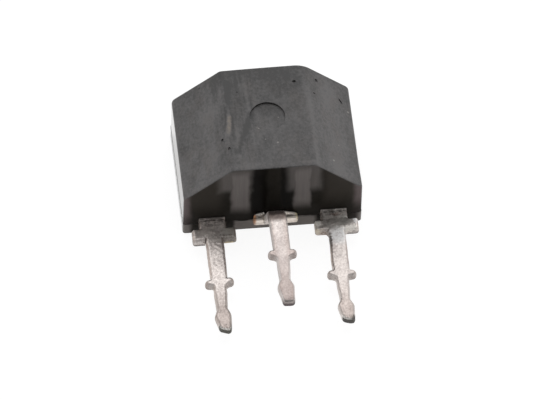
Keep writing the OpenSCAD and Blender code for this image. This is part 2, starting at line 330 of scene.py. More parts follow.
def fluxed_moulding():
    # The lead end of the moulding. Tinning flux has baked on dull black round the leads; between them grey
    # panes, finely scored along the draw, are painted reflections of the floor
    material, tree = new_material("flux_stained_epoxy_painted_light")
    place = place_in_mm(tree)
    haze = stretched_noise(tree, place, (0.25, 0.25, 0.4), 3, 0.65)
    scoring = stretched_noise(tree, place, (0.07, 0.07, 1.5), 2, 0.5)
    wander = stretched_noise(tree, place, (0.6, 0.6, 0.9), 2, 0.5)
    wander = add(tree, "MapRange", wander, 0.3, 0.7, -0.05, 0.05)[0]
    wandered = add(tree, "VectorMath", place, wander, operation="ADD")[0]
    floor_reflection = 0.0
    for x, z, half_width, half_height, reflection_strength in FLOOR_REFLECTION_PANES:
        shape = pane(tree, wandered, x, z, half_width, half_height)
        shape = add(tree, "Math", shape, reflection_strength, operation="MULTIPLY")[0]
        floor_reflection = add(tree, "Math", shape, floor_reflection, operation="MAXIMUM")[0]
    black = add(tree, "MixRGB", haze, "#1f1d19", "#2e2b28")[0]
    grey = add(tree, "MixRGB", scoring, "#6a6564", "#7b7673")[0]
    # Painted reflections of the floor make it greyer towards the two sides, above all high up
    parts = add(tree, "SeparateXYZ", wandered)
    aside = add(tree, "Math", parts["X"], operation="ABSOLUTE")[0]
    side_reflection = add(tree, "MapRange", aside, 1.9, 2.4, 0, 0.5, interpolation_type="SMOOTHSTEP")[0]
    high = add(tree, "MapRange", parts["Z"], 0.9, 2.2, 0.1, interpolation_type="SMOOTHSTEP")[0]
    side_reflection = add(tree, "Math", side_reflection, high, operation="MULTIPLY")[0]
    black = add(tree, "MixRGB", side_reflection, black, "#4b4641")[0]
    for x in CENTRE_SHADE_X:
        centre_shade = pane(tree, wandered, x, 2.0, 0.3, 2.4, 0.4)
        centre_shade = add(tree, "Math", centre_shade, 0.8, operation="MULTIPLY")[0]
        black = add(tree, "MixRGB", centre_shade, black, "#060403")[0]
    # Painted light on the two upright corners
    corner_x, bare_or_lit_from, lit_low = (
        add(tree, "MapRange", parts["X"], -0.1, 0.1, left, right)[0]
        for left, right in LIT_CORNERS)
    corner = add(tree, "Math", aside, corner_x, operation="SUBTRACT")[0]
    corner = add(tree, "MapRange", corner, -0.16, 0.16, 0, 0.92, interpolation_type="SMOOTHSTEP")[0]
    lit_by_height = add(tree, "MapRange", parts["Z"], LIT_CORNER_LOW, bare_or_lit_from, lit_low)[0]
    corner = add(tree, "Math", corner, lit_by_height, operation="MULTIPLY")[0]
    black = add(tree, "MixRGB", corner, black, "#716767")[0]
    colour = add(tree, "MixRGB", floor_reflection, black, grey)[0]
    # Below the parting line the lead end is a lighter grey, except where painted shade keeps it dark round
    # the outer leads
    below = add(tree, "MapRange", parts["Z"], PARTING + 0.03, PARTING)[0]
    for x in ROOT_SHADE_X:
        root_shade = pane(tree, wandered, x, PARTING, 0.9, 0.62, 0.12)
        root_shade = add(tree, "Math", 1.0, root_shade, operation="SUBTRACT")[0]
        below = add(tree, "Math", below, root_shade, operation="MULTIPLY")[0]
    colour = add(tree, "MixRGB", below, colour, "#837e7b")[0]
    shader = add(tree, "BsdfPrincipled",
                 {"Base Color": colour, "Roughness": 0.3, "IOR": 1.5, "Specular IOR Level": 0.02})
    add(tree, "OutputMaterial", shader[0])
    return material


# What stains the tin, and the painted shade and reflections on it: middle, reach, colour and strength,
# in millimetres
TIN_STAINS_AND_PAINTED_LIGHT = {
    "base_lead": (
        # Painted reflection of the black moulding, at the root
        ((-2.56, -2.66, 1.0), (0.7, 0.11, 0.2), "#453f3b", 0.85),
        ((-2.7, -3.02, 0.95), (0.5, 0.07, 0.3), "#3f3733", 0.5),
        ((-2.85, -3.3, 0.95), (0.35, 0.2, 0.3), "#8f8478", 0.3),
        ((-1.85, -3.35, 0.95), (0.3, 0.3, 0.3), "#85867a", 0.5),
        ((-2.6, -3.64, 0.7), (1.2, 0.1, 0.3), "#6e6762", 0.8),
        ((-1.95, -3.75, 0.85), (0.55, 0.2, 0.3), "#6a645c", 0.75),
        ((-3.47, -3.4, 0.85), (0.1, 0.4, 0.3), "#6b645f", 0.8),
        ((-1.75, -3.75, 0.62), (0.4, 0.12, 0.1), "#e0cf9f", 0.9),
        ((-3.1, -3.8, 0.82), (0.4, 0.12, 0.1), "#efe8e4", 0.9),
        ((-3.1, -3.8, 0.62), (0.45, 0.15, 0.09), "#2e2825", 0.9),
        # Painted shade along the blade's +X edge
        ((-2.17, -4.5, 0.85), (0.05, 0.9, 0.3), "#4d4641", 0.7),
    ),
    "emitter_lead": (
        # Painted reflection of the black moulding, at the root
        ((2.6, -2.66, 1.0), (0.7, 0.11, 0.2), "#4a4541", 0.85),
        ((2.62, -2.9, 0.95), (0.3, 0.06, 0.1), "#7c5647", 0.5),
        ((1.72, -3.28, 0.95), (0.24, 0.26, 0.25), "#eae5df", 0.95),
        ((1.72, -3.65, 0.86), (0.22, 0.13, 0.25), "#e6dac6", 0.9),
        ((2.02, -3.68, 0.72), (0.22, 0.06, 0.14), "#7d5a3e", 0.8),
        ((2.6, -3.35, 0.95), (0.45, 0.3, 0.3), "#6d736b", 0.4),
        ((3.1, -3.25, 0.95), (0.35, 0.22, 0.3), "#6f756e", 0.45),
        ((3.38, -3.15, 0.95), (0.07, 0.25, 0.2), "#ffffff", 1.0),
        ((3.1, -3.02, 0.98), (0.3, 0.04, 0.2), "#d8d8d2", 0.8),
        ((3.1, -3.62, 0.9), (0.45, 0.14, 0.16), "#fbf6ee", 1.0),
        ((3.2, -3.7, 0.6), (0.45, 0.08, 0.1), "#3d3733", 0.9),
        ((2.6, -3.98, 0.98), (0.4, 0.4, 0.3), "#ffffff", 0.8),
        ((2.6, -5.6, 0.98), (0.5, 1.4, 0.3), "#a8a09c", 0.15),
        # Painted shade along the blade's -X edge
        ((2.22, -4.15, 0.85), (0.1, 0.33, 0.35), "#1d1916", 0.95),
    ),
    "collector_lead": (
        # Painted reflection of the black moulding on the upper bend
        ((0, -3.92, 2.6), (0.5, 0.3, 0.35), "#5a4d47", 0.88),
        ((0.1, -2.78, 0.8), (1.2, 0.25, 0.5), "#f3eadf", 0.85),
        # Painted reflections of the black moulding on the stub's top, on both sides
        ((0.66, -2.78, 0.99), (0.22, 0.06, 0.1), "#4a423c", 0.8),
        ((-0.56, -2.72, 1.02), (0.25, 0.07, 0.2), "#3a322d", 0.85),
        ((0, -2.67, 1.08), (1.1, 0.05, 0.08), "#fffaf2", 0.8),
        ((-0.8, -2.78, 0.85), (0.1, 0.2, 0.3), "#b1784a", 0.85),
        ((1.03, -2.75, 0.9), (0.1, 0.2, 0.3), "#e6d8b4", 0.8),
        ((0, -6.6, 2.6), (1.0, 1.9, 0.6), "#a39592", 0.4),
    ),
}

# What the tin looks like on a lead. OUTER_TIN is what a lead's own row doesn't change:
# blade           height of the blade's underside
# towards_tip     what its tone is multiplied by near the tip, a painted shade
# side_tone       tone of the sheared sides, and how it is laid on
# side_dull       how dull the -X side is
# far_side_frost  how frosted the sides are from the barbs on
# far_side_dull   how much duller they are there
# film            how much flux film there is next to the moulding, and where it ends
# film_off_ends   how much less of it the faces towards the tip have
# film_tones      its own tones
# edge_shade      how much darker painted shade makes the blade towards its edges
# stain_and_light_wander  how far the edges of the stains and of the painted shade wander
# stain_and_light_dull    how dull the stains and the painted shade are
# stain_and_light_left    what is left of each stain and painted shade where the frost breaks it up
# bare            how much of the tip's bare metal shows, and its colour
# bare_heights    where it starts and where it is whole, above the blade's underside
# bare_ends       the same along the lead, before the tip's end
# bare_rise       how much higher it reaches on the +X side
OUTER_TIN = {
    "blade": PARTING, "towards_tip": "#d8d3d1", "side_tone": ("#e0d8d3", "MULTIPLY"), "side_dull": 0.35,
    "film_off_ends": 0.0, "film_tones": ("#463e3a", "#c8beb8"), "edge_shade": 0.0, "stain_and_light_wander": 0.1,
    "stain_and_light_dull": 1.0, "stain_and_light_left": 0.55, "bare_ends": (0.3, 0.2),
}
TIN_LOOKS = {
    "base_lead": {
        **OUTER_TIN, "towards_tip": "#cfcac8", "far_side_frost": 0.2, "far_side_dull": 0.04,
        "film": (0.75, 0.75), "bare": (0.95, "#2e2d26"), "bare_heights": (0.44, 0.33), "bare_rise": 0.02,
    },
    "emitter_lead": {
        **OUTER_TIN, "far_side_frost": 0.5, "far_side_dull": 0.13, "film": (0.72, 0.65),
        "film_tones": ("#34302c", "#dcd6d0"),
        "bare": (0.95, "#24211e"), "bare_heights": (0.465, 0.33), "bare_rise": 0.07,
    },
    "collector_lead": {
        **OUTER_TIN, "blade": PARTING + JOGGLE_RISE, "side_tone": ("#f6f2ef", "MIX"), "side_dull": 0.8,
        "far_side_frost": 0.0, "far_side_dull": 0.0, "film": (0.2, 0.4), "film_off_ends": 1.0,
        "edge_shade": 0.7, "stain_and_light_wander": 0.02, "stain_and_light_dull": 0.3, "stain_and_light_left": 1.0,
        "bare": (0.97, "#463c3d"), "bare_heights": (0.56, 0.26), "bare_ends": (0.3, 0.02), "bare_rise": 0.0,
    },
}


def dipped_tin(node):
    # Copper-alloy strip dipped in molten tin: a soft white metal with a fine mottled frost, stained by flux
    # near the moulding, and cut back to bare brown metal at the blade's tip. Painted shade and reflections
    # lie on it too
    look = TIN_LOOKS[node]
    material, tree = new_material("dipped_tin_" + node)
    place = place_in_mm(tree)
    x, along, height = add(tree, "SeparateXYZ", place)
    normal = add(tree, "SeparateXYZ", add(tree, "NewGeometry")["Normal"])
    frost = stretched_noise(tree, place, (0.075, 0.095, 0.075), 3, 0.7)
    clouds = stretched_noise(tree, place, (0.3, 0.5, 0.3), 2, 0.5)
    tone = add(tree, "MapRange", frost, 0.32, 0.68, 0, 0.8)[0]
    cloud_tone = add(tree, "MapRange", clouds, 0.3, 0.7, -0.15, 0.35)[0]
    tone = add(tree, "Math", tone, cloud_tone, operation="ADD", use_clamp=True)[0]
    colour = add(tree, "MixRGB", tone, "#aea5a1", "#e4dcd7")[0]
    # Painted shade darkens the tin towards the tips
    tip_shade = add(tree, "MapRange", along, LEAD_END - 3.2, LEAD_END - 5.0, interpolation_type="SMOOTHSTEP")[0]
    colour = add(tree, "MixRGB", tip_shade, colour, look["towards_tip"], blend_type="MULTIPLY")[0]
    # It draws back from the strip's edges and sheared sides, except on the tips' ends
    ahead = add(tree, "MapRange", normal["Y"], -0.25, -0.75, interpolation_type="SMOOTHSTEP")[0]
    at_tip = add(tree, "MapRange", along, TIP + 0.45, TIP + 0.3)[0]
    tip_end = add(tree, "Math", ahead, at_tip, operation="MULTIPLY")[0]
    across = add(tree, "Math", normal["X"], operation="ABSOLUTE")[0]
    sides = add(tree, "MapRange", across, 0.2, 0.8, interpolation_type="SMOOTHSTEP")[0]
    sides = add(tree, "Math", sides, tip_end, operation="SUBTRACT", use_clamp=True)[0]
    side_tone, side_blend = look["side_tone"]
    colour = add(tree, "MixRGB", sides, colour, side_tone, blend_type=side_blend)[0]
    # From the barbs on, the outer leads' sides are frosted like their tops
    from_barbs = add(tree, "MapRange", along, LEAD_END - 2.8, LEAD_END - 2.9)[0]
    frosted = add(tree, "Math", sides, from_barbs, operation="MULTIPLY")[0]
    frosted = add(tree, "Math", frosted, look["far_side_frost"], operation="MULTIPLY")[0]
    colour = add(tree, "MixRGB", frosted, colour, "#f0eae6")[0]
    # The round barbs are duller, and their walls get painted shade that deepens downwards, for their rounded
    # lower edges
    aside = add(tree, "Math", x, LEAD_X[node], operation="SUBTRACT")[0]
    aside = add(tree, "Math", aside, operation="ABSOLUTE")[0]
    barbs = add(tree, "MapRange", aside, 0.38, 0.6, 0, 0.6, interpolation_type="SMOOTHSTEP")[0]
    barbs = add(tree, "Math", barbs, from_barbs, operation="MULTIPLY")[0]
    face = look["blade"] + STRIP_T
    shade = add(tree, "MapRange", height, face - 0.04, face - 0.32, -1.0, 0.9)[0]
    shade = add(tree, "Math", shade, ahead, 1.0, operation="MULTIPLY_ADD")[0]
    barbs = add(tree, "Math", barbs, shade, operation="MULTIPLY")[0]
    colour = add(tree, "MixRGB", barbs, colour, "#bdb4af", blend_type="MULTIPLY")[0]
    # Painted shade makes the centre blade a little darker towards its edges
    edges = add(tree, "MapRange", aside, 0.1, 0.34, 0, look["edge_shade"], interpolation_type="SMOOTHSTEP")[0]
    colour = add(tree, "MixRGB", edges, colour, "#dcd4d0", blend_type="MULTIPLY")[0]
    # Baked flux leaves a dull grey film next to the moulding, scratched across by the trimming punch
    film_strength, film_end = look["film"]
    film = add(tree, "MapRange", along, LEAD_END - film_end, LEAD_END - film_end + 0.35, 0, film_strength,
               interpolation_type="SMOOTHSTEP")[0]
    off_ends = add(tree, "Math", ahead, -look["film_off_ends"], 1.0, operation="MULTIPLY_ADD")[0]
    film = add(tree, "Math", film, off_ends, operation="MULTIPLY")[0]
    kept = add(tree, "MapRange", across, 0.15, 0.4, 1, 0.7)[0]
    film = add(tree, "Math", film, kept, operation="MULTIPLY")[0]
    # Oxide dulls the sheared sides, the faces towards the tip, the barbs and what the film covers
    dulled = add(tree, "MapRange", normal["X"], -0.2, 0.2, look["side_dull"], 0.6)[0]
    dulled = add(tree, "Math", from_barbs, look["far_side_dull"], dulled, operation="MULTIPLY_ADD")[0]
    oxide = add(tree, "Math", sides, dulled, operation="MULTIPLY")[0]
    rolled = add(tree, "MapRange", normal["Y"], -0.12, -0.4, 0, 0.9, interpolation_type="SMOOTHSTEP")[0]
    if node == "collector_lead":
        blade_end = add(tree, "Math", at_tip, -0.4, from_barbs, operation="MULTIPLY_ADD")[0]
        rolled = add(tree, "Math", rolled, blade_end, operation="MULTIPLY")[0]
    for dull_part in (rolled, barbs, film):
        oxide = add(tree, "Math", oxide, dull_part, operation="MAXIMUM")[0]
    # Fresh tin, frosted white, round the tip's end
    fresh = add(tree, "Math", rolled, at_tip, operation="MULTIPLY")[0]
    colour = add(tree, "MixRGB", fresh, colour, "#fbf7f2")[0]
    scratches = stretched_noise(tree, place, (0.9, 0.05, 0.9), 2, 0.5)
    scratches = add(tree, "MapRange", scratches, 0.48, 0.66, 0, 0.6)[0]
    film_tone = add(tree, "Math", tone, scratches, operation="ADD", use_clamp=True)[0]
    film_dark, film_light = look["film_tones"]
    film_tone = add(tree, "MixRGB", film_tone, film_dark, film_light)[0]
    colour = add(tree, "MixRGB", film, colour, film_tone)[0]
    # Stains, and the painted shade and reflections among them, have ragged edges, and on the outer leads the
    # frost breaks them up
    wander = stretched_noise(tree, place, (0.16, 0.12, 0.16), 3, 0.6)
    wander = add(tree, "MapRange", wander, 0.3, 0.7, -look["stain_and_light_wander"], look["stain_and_light_wander"])[0]
    wandered = add(tree, "VectorMath", place, wander, operation="ADD")[0]
    broken = add(tree, "MapRange", frost, 0.4, 0.55, look["stain_and_light_left"])[0]
    for middle, reach, stain_or_light_colour, strength in TIN_STAINS_AND_PAINTED_LIGHT[node]:
        amount = patch(tree, wandered, middle, reach)
        amount = add(tree, "Math", amount, strength, operation="MULTIPLY")[0]
        amount = add(tree, "Math", amount, broken, operation="MULTIPLY")[0]
        colour = add(tree, "MixRGB", amount, colour, stain_or_light_colour)[0]
        dull_stain_and_light = add(tree, "Math", amount, look["stain_and_light_dull"], operation="MULTIPLY")[0]
        oxide = add(tree, "Math", oxide, dull_stain_and_light, operation="MAXIMUM")[0]
    # Bare metal low on the tip, where it was sheared off last
    bare_strength, bare_colour = look["bare"]
    bare_top, bare_full = (look["blade"] + up for up in look["bare_heights"])
    bare_or_lit_from, bare_to = (TIP + past for past in look["bare_ends"])
    ragged = add(tree, "Math", frost, 0.16, height, operation="MULTIPLY_ADD")[0]
    higher = add(tree, "MapRange", x, LEAD_X[node], LEAD_X[node] + 0.25, 0, look["bare_rise"])[0]
    ragged = add(tree, "Math", ragged, higher, operation="SUBTRACT")[0]
    low = add(tree, "MapRange", ragged, bare_top, bare_full, 0, bare_strength)[0]
    bare = add(tree, "MapRange", along, bare_or_lit_from, bare_to)[0]
    bare = add(tree, "Math", bare, low, operation="MULTIPLY")[0]
    colour = add(tree, "MixRGB", bare, colour, bare_colour)[0]
    oxide = add(tree, "Math", oxide, bare, operation="SUBTRACT", use_clamp=True)[0]
    metallic = add(tree, "Math", 1.0, oxide, operation="SUBTRACT")[0]
    roughness = add(tree, "MapRange", frost, 0.3, 0.7, 0.42, 0.32)[0]
    bump = add(tree, "Bump", {"Height": frost, "Strength": 0.35, "Distance": 0.012 * MM})[0]
    shader = add(tree, "BsdfPrincipled",
                 {"Base Color": colour, "Roughness": roughness, "Metallic": metallic, "Normal": bump})
    add(tree, "OutputMaterial", shader[0])
    return material


def plain_metal(name, colour, roughness, grain_mm):
    """A metal inside the moulding, with a fine unevenness of its own."""
    material, tree = new_material(name)
    place = place_in_mm(tree)
    grain = stretched_noise(tree, place, (grain_mm, grain_mm, grain_mm), 2, 0.5)
    varied = add(tree, "MapRange", grain, 0.3, 0.7, roughness - 0.06, roughness + 0.06)[0]
    shader = add(tree, "BsdfPrincipled", {"Base Color": colour, "Roughness": varied, "Metallic": 1.0})
    add(tree, "OutputMaterial", shader[0])
    return material


# ---- moulding ----

CRISP_CORNER_R = 0.12          # the upright corner at the far end on the +X side
SHOULDER_R = 0.2               # where the side walls meet the bevels
RIDGE_R = 0.22                 # where the bevels meet the front
WORN_RIDGE_R = 0.95            # the ridge on the +X side, rubbed round at its far end
LEAD_EDGE_R = 0.04             # where the front and bevels meet the lead end
FAR_EDGE_R = 0.045             # the same at the far end
SIDE_SHRUNK = 0.022            # how much the +X side drew in
END_SHRUNK = 0.036             # how much the far end's -X corner did
FLOOR_EDGE = 0.02              # bevel round the underside
CAP_INSET = 0.02               # border of the two flat ends
LEAD_END_SPREAD = SPREAD * 0.6
STATION_STEP = 0.06
ARC_STEPS = 8
# Points along a side wall, a bevel and half the front, between their rounded edges
WALL_STEPS, BEVEL_STEPS, FRONT_STEPS = 30, 40, 28


def rounded_corner(before, corner, after, radius):
    """Points of the arc that rounds a corner of an outline."""
    u = (corner - before).normalized()
    v = (after - corner).normalized()
    side = 1 if u.x * v.y - u.y * v.x > 0 else -1
    bend = u.angle(v)
    start = corner - u * radius * math.tan(bend / 2)
    centre = start + side * radius * Vector((-u.y, u.x))
    spoke = start - centre
    return [centre + Matrix.Rotation(side * bend * k / ARC_STEPS, 2) @ spoke for k in range(ARC_STEPS + 1)]


def between(a, b, count):
    """Points that divide the line from a to b, without its ends."""
    return [a.lerp(b, k / count) for k in range(1, count)]


def rounding(y, radius):
    """How far an edge of that radius at the end of the moulding has drawn the surface in at station y."""
    reach = abs(y) - (HALF_LENGTH - radius)
    return radius - math.sqrt(max(0, radius ** 2 - reach ** 2)) if reach > 0 else 0


def half_section(y, corner_radius, ridge_radius):
    """The upper half's outline at station y, from the foot of a side wall to the middle of the front."""
    edge = rounding(y, LEAD_EDGE_R if y < 0 else FAR_EDGE_R)
    foot_x = FOOT_X - edge - rounding(y, corner_radius)
    front = FRONT - edge
    drop = edge * math.hypot(1, BEVEL_SLOPE)
    wall_lean = math.tan(SIDE_DRAFT)
    # The bevel's plane is z = level - BEVEL_SLOPE * x
    level = FRONT + BEVEL_SLOPE * FRONT_HALF - drop
    shoulder_x = (foot_x + (PARTING - level) * wall_lean) / (1 - BEVEL_SLOPE * wall_lean)
    foot = Vector((foot_x, PARTING / 2))
    shoulder = Vector((shoulder_x, level - BEVEL_SLOPE * shoulder_x))
    ridge = Vector(((level - front) / BEVEL_SLOPE, front))
    middle = Vector((0, front))
    low_arc = rounded_corner(foot, shoulder, ridge, SHOULDER_R)
    high_arc = rounded_corner(shoulder, ridge, middle, ridge_radius)
    return ([foot] + between(foot, low_arc[0], WALL_STEPS) + low_arc
            + between(low_arc[-1], high_arc[0], BEVEL_STEPS) + high_arc
            + between(high_arc[-1], middle, FRONT_STEPS))


def stations():
    """Distances along the moulding, close together where its ends are rounded."""
    straight = HALF_LENGTH - CORNER_R
    count = round(2 * straight / STATION_STEP)
    inner = [-straight + 2 * straight * k / count for k in range(1, count)]
    angles = (0, 15, 30, 42, 53, 62, 70, 77, 84, 90)
    turned = [straight + CORNER_R * math.sin(math.radians(angle)) for angle in angles]
    return [-y for y in reversed(turned)] + inner + turned


def settled(x, y, z):
    """Where a point of the upper half came to lie when the compound shrank."""
    x -= SIDE_SHRUNK * ramp(x, 0, FOOT_X) * ramp(y, -2.3, -1.3)
    y -= END_SHRUNK * ramp(y, 1.9, 2.4) * ramp(-x, -1.2, 2.0) ** 2
    return x, y, z


def upper_half():
    """The upper half of the moulding, closed a little below the parting line."""
    bm = bmesh.new()
    rows = []
    for y in stations():
        worn = ramp(y, 1.0, 2.4)
        worn = worn * worn * (3 - 2 * worn)
        right_corner = CORNER_R if y < 0 else CRISP_CORNER_R
        right = half_section(y, right_corner, RIDGE_R + (WORN_RIDGE_R - RIDGE_R) * worn)
        left = half_section(y, CORNER_R, RIDGE_R)
        outline = [(p.x, p.y) for p in right] + [(-p.x, p.y) for p in reversed(left[:-1])]
        rows.append([bm.verts.new(settled(x, y, z)) for x, z in outline])
    for row, next_row in zip(rows, rows[1:]):
        for k in range(len(row) - 1):
            bm.faces.new((row[k], row[k + 1], next_row[k + 1], next_row[k]))
    caps = [bm.faces.new(rows[0]), bm.faces.new(rows[-1])]
    bm.faces.new([row[0] for row in rows] + [row[-1] for row in reversed(rows)])
    bmesh.ops.inset_individual(bm, faces=caps, thickness=CAP_INSET, use_even_offset=True)
    bmesh.ops.recalc_face_normals(bm, faces=bm.faces)
    return bm


def lower_half():
    """The lower half: a plain slab with rounded corners, as high as the parting line."""
    bm = bmesh.new()
    x, y = BODY_HIGH.x + SPREAD, BODY_HIGH.y
    near = y + LEAD_END_SPREAD
    corners = [Vector((x, -near)), Vector((x, y)), Vector((-x, y)), Vector((-x, -near))]
    outline = []
    for k in range(4):
        outline += rounded_corner(corners[k - 1], corners[k], corners[(k + 1) % 4], CORNER_R)
    floor = bm.faces.new([bm.verts.new((p.x, p.y, 0)) for p in outline])
    raised = bmesh.ops.extrude_face_region(bm, geom=[floor])["geom"]
    top = [item for item in raised if isinstance(item, bmesh.types.BMVert)]
    bmesh.ops.translate(bm, vec=(0, 0, PARTING), verts=top)
    rim = [e for e in bm.edges if all(v.co.z < PARTING / 2 for v in e.verts)]
    bmesh.ops.bevel(bm, geom=rim, offset=FLOOR_EDGE, segments=2, profile=0.5, affect="EDGES")
    bmesh.ops.recalc_face_normals(bm, faces=bm.faces)
    return bm


PIN_MARK_R = 0.735
PIN_MARK_Y = 0.06
PIN_MARK_DEPTH = 0.1
PIN_MARK_FILLET = 0.02         # round its floor
PIN_MARK_BREAK = 0.01          # round its rim
CLEAR = 0.04                   # how far the cutting shape stands out of the front


def pin_mark():
    """What the ejector pin took out of the front: a shallow round recess with a crisp rim."""
    bm = bmesh.new()
    floor = FRONT - PIN_MARK_DEPTH
    profile = [(0, floor), (PIN_MARK_R - PIN_MARK_FILLET, floor),
               (PIN_MARK_R - PIN_MARK_FILLET * 0.3, floor + PIN_MARK_FILLET * 0.3),
               (PIN_MARK_R, floor + PIN_MARK_FILLET), (PIN_MARK_R, FRONT - PIN_MARK_BREAK),
               (PIN_MARK_R + PIN_MARK_BREAK, FRONT), (PIN_MARK_R + PIN_MARK_BREAK + CLEAR, FRONT + CLEAR),
               (0, FRONT + CLEAR)]
    verts = [bm.verts.new((r, PIN_MARK_Y, z)) for r, z in profile]
    edges = [bm.edges.new(pair) for pair in zip(verts, verts[1:])]
    bmesh.ops.spin(bm, geom=verts + edges, cent=(0, PIN_MARK_Y, 0), axis=(0, 0, 1), angle=math.tau, steps=96)
    bmesh.ops.remove_doubles(bm, verts=bm.verts, dist=1e-5)
    bmesh.ops.recalc_face_normals(bm, faces=bm.faces)
    return bm


# Pits where the compound didn't fill: place across and along, half-sizes and depth
PITS = (
    (1.29, 1.768, 0.08, 0.06, 0.08),
    (-1.131, 1.398, 0.05, 0.045, 0.02),
    (-1.751, -1.431, 0.06, 0.07, 0.08),
    (2.275, 2.089, 0.08, 0.08, 0.08),
    (2.099, 1.324, 0.055, 0.05, 0.05),
    (-1.969, -0.838, 0.05, 0.07, 0.08),
    (-2.609, 2.324, 0.035, 0.035, 0.03),
)
# A gouge in the +X bevel: its two ends, its half-width and its depth
GOUGE = ((3.182, 1.705), (3.346, 1.439), 0.035, 0.09)


def pit(x, y, half_width, half_length, depth, turn=0.0):
    """What is missing at a pit: an ellipsoid round a point of the front or a bevel."""
    bm = bmesh.new()
    bmesh.ops.create_icosphere(bm, subdivisions=3, radius=1)
    shape = Matrix.Diagonal((half_width, half_length, depth, 1))
    place = Matrix.Translation((x, y, surface_height(x))) @ Matrix.Rotation(turn, 4, "Z")
    bmesh.ops.transform(bm, matrix=place @ shape, verts=bm.verts)
    return bm


def gouge():
    (x0, y0), (x1, y1), half_width, depth = GOUGE
    run = Vector((x1 - x0, y1 - y0))
    half_length = run.length / 2 + half_width
    return pit((x0 + x1) / 2, (y0 + y1) / 2, half_width, half_length, depth, math.atan2(-run.x, run.y))


def wall_finish(face):
    """Which of the moulding's finishes a face has: 0 matt, 1 polished, 2 stained by flux and painted with
    light and shade.
    """
    upright = abs(face.normal.z) < 0.35
    middle = face.calc_center_median()
    if upright and face.normal.y < -0.5 and middle.y < LEAD_END + CORNER_R:
        return 2
    return 1 if upright and (middle.z > PARTING or abs(face.normal.x) > 0.7) else 0


def moulding_piece(finishes):
    bm = combined(upper_half(), "UNION", [lower_half()])
    hollows = [pin_mark(), gouge()] + [pit(*values) for values in PITS]
    inside = [solid_copy(node) for node in NODES if node != "moulded_body"]
    bm = combined(bm, "DIFFERENCE", hollows + inside)
    bm.normal_update()
    for face in bm.faces:
        face.material_index = wall_finish(face)
    obj = finished("moulding_skin", bm, finishes, crease=35)
    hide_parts("moulded_body")
    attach(obj, "root")


# ---- leads ----

# The tin is a remeshed copy of the strip, smoothed so many times and grown by so much, unevenly
TIN_VOXEL = 0.025
TIN_SMOOTHING = 18
TIN_THICKNESS = 0.008
TIN_UNEVEN = 0.008
TIN_SWELLS = ((0.4, 1.0), (0.13, 0.6))   # how wide the unevenness is, and its share

# Stretches along the leads, towards the tips: where each starts and is whole, and where it is whole and ends
STRUCK_BARBS = (LEAD_END - 2.6, LEAD_END - 2.8, LEAD_END - 4.0, LEAD_END - 4.2)
ROUNDED_BARBS = (LEAD_END - 2.9, LEAD_END - 3.1, LEAD_END - 4.0, LEAD_END - 4.2)
SHOULDERS = (TIP + 1.6, TIP + 1.1, TIP + 0.75, TIP + 0.35)
LEANING = (LEAD_END - 1.1, LEAD_END - 1.4, TIP + 2.2, TIP + 1.2)
NECK = (LEAD_END - 3.5, LEAD_END - 3.8, TIP + 1.0, TIP + 0.8)
EATEN = (LEAD_END - 1.1, LEAD_END - 1.2, LEAD_END - 1.6, LEAD_END - 2.4)
DAM_BAR = (LEAD_END - 0.7, LEAD_END - 1.0)
DAM_BAR_END = LEAD_END - 1.4

EDGE_DROP = 1.6                # how far the front has fallen at its edge, of how far in it starts to
TIP_WIDTH = 0.47
TIP_SHAPED = 0.3               # length of the tip that the cropping punch shaped
BARB_ROUNDED = 0.03            # how much further in from their edges the barbs are rounded
EAR_ROLLED = 0.1               # share of its thickness that the centre lead's stub lost at its front edge
EAR_DEPTH = 0.3                # how far that stub stands out of the moulding
BLADE_EDGE = 0.36              # where the stub starts, beside the blade
EAR_END = 1.1                  # where it ends
DAM_BAR_X = 0.37               # where an outer lead's dam bar starts, beside the blade
EATEN_DEPTH = 0.06
BEAD_HEIGHTS = (PARTING + 0.1, PARTING + 0.3)
# The leads whose tips were cut last, and kept a sharp end
CUT_TIPS = ("base_lead", "emitter_lead")
# How each lead's shape departs from the drawing's; a pair is for the -X and the +X side:
# edge_reach      how far in from its edges the strip's front starts to fall away
# tip_slant       how much more the punch cut the -X side of the tip back
# tip_longer      how much longer the tip is
# barbs_back      how much nearer the moulding the barbs lie
# shoulders_back  the same for the shoulders of the blade's head
# neck_tin        how much more tin there is on the neck
# blade_lean      how far the blade leans to +X on its way to the barbs
# dam_burr        how much further the dam bar reaches towards the tip
# root_bead       height of the bead of tin between the lead and the moulding
LEAD_SHAPES = {
    "base_lead": {
        "edge_reach": 0.11, "tip_slant": 0.02, "tip_longer": 0.02, "barbs_back": (0.0, 0.08),
        "shoulders_back": (0.04, 0.1), "neck_tin": 0.022, "blade_lean": 0.012, "dam_burr": (0.12, 0.06),
        "root_bead": 0.06,
    },
    "emitter_lead": {
        "edge_reach": 0.1, "tip_slant": 0.05, "tip_longer": -0.04, "barbs_back": (0.05, 0.0),
        "shoulders_back": (0.13, 0.1), "neck_tin": 0.005, "blade_lean": 0.0, "dam_burr": (0.02, 0.06),
        "root_bead": 0.06,
    },
    "collector_lead": {
        "edge_reach": 0.08, "tip_slant": -0.12, "tip_longer": 0.04, "barbs_back": (0.06, 0.06),
        "shoulders_back": (0.1, 0.1), "neck_tin": 0.018, "blade_lean": 0.03, "dam_burr": (0.0, 0.0),
        "root_bead": 0.2,
    },
}


def within(y, stretch):
    """1 along a stretch of the lead, 0 outside it."""
    start, whole_from, whole_to, end = stretch
    return ramp(y, end, whole_to) * ramp(y, start, whole_from)


def strip_faces(node, upright):
    """The strip's sheared sides, or its rolled faces, as a tree to measure from."""
    bm = solid_copy(node)
    bm.normal_update()
    others = [face for face in bm.faces if (abs(face.normal.z) < 0.3) != upright
              or (node in CUT_TIPS and face.normal.y < -0.7 and face.calc_center_median().y < TIP + 0.3)]
    bmesh.ops.delete(bm, geom=others, context="FACES")
    tree = BVHTree.FromBMesh(bm)
    bm.free()
    return tree


